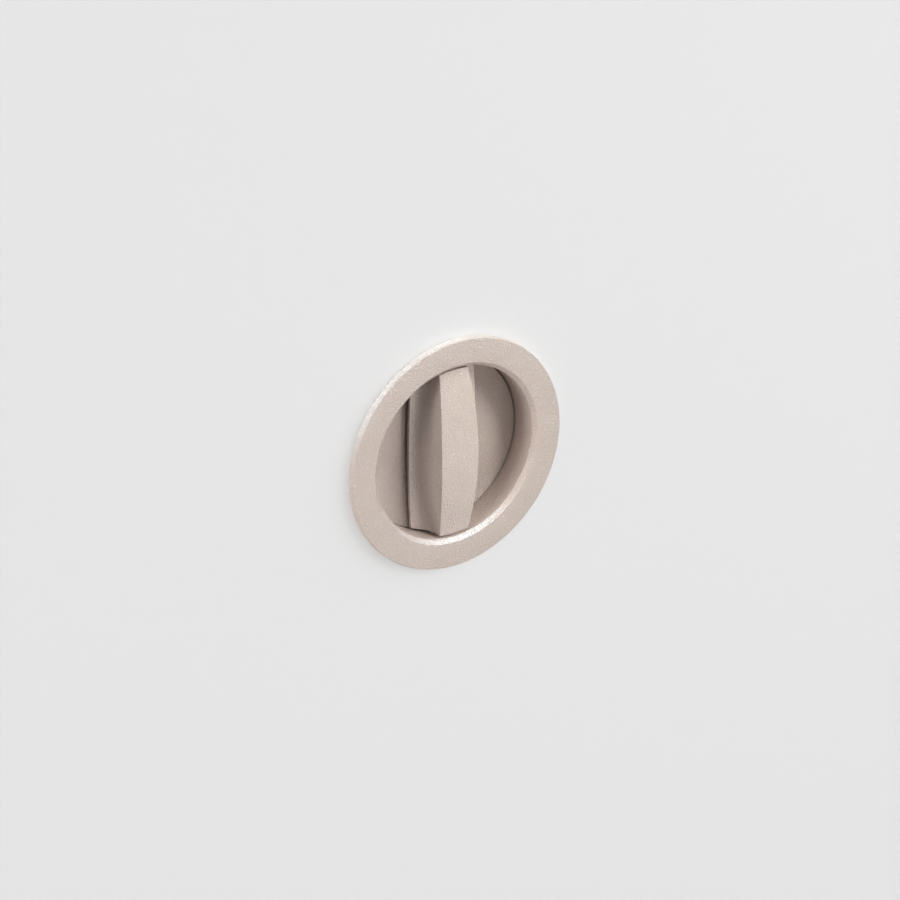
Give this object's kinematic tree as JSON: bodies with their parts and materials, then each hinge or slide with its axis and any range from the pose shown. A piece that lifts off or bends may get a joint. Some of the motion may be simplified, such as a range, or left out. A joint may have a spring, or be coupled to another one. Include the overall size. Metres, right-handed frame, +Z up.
{
  "type": "round flush pull with thumb turn",
  "caption": "Round flush pull for an interior door: a flanged recessed cup whose floor disc carries a coved thumb turn on a square spindle.",
  "frame": {"origin": "on the pull's axis, in the plane of the flange's back face, which lies on the door face", "axes": "+Y along the axis into the door, the hand comes from -Y; +Z up, along the thumb turn at rest; +X to the right seen from the hand"},
  "size_m": [0.06, 0.0466, 0.06],
  "materials": {
    "coated_metal": "fine sand-textured warm grey powder coat",
    "plated_steel": "bright zinc plated",
    "spring_steel": "oiled dark spring steel",
    "bush_plastic": "black acetal"
  },
  "bodies": {
    "cup": {"rose_cup": "coated_metal", "fixing_screw_left": "plated_steel", "fixing_screw_right": "plated_steel", "floor_disc": "coated_metal", "neck_bush": "bush_plastic"},
    "turn": {"thumb_turn": "coated_metal", "thrust_washer": "plated_steel", "spring_washer": "spring_steel", "retaining_ring": "spring_steel", "spindle": "plated_steel", "spindle_pin": "spring_steel"}
  },
  "joints": [
    {"name": "turn_hinge", "type": "hinge", "parent": "cup", "child": "turn", "pos_m": [0, 0, 0], "axis": [0, 1, 0], "range_deg": [0, 90]}
  ]
}
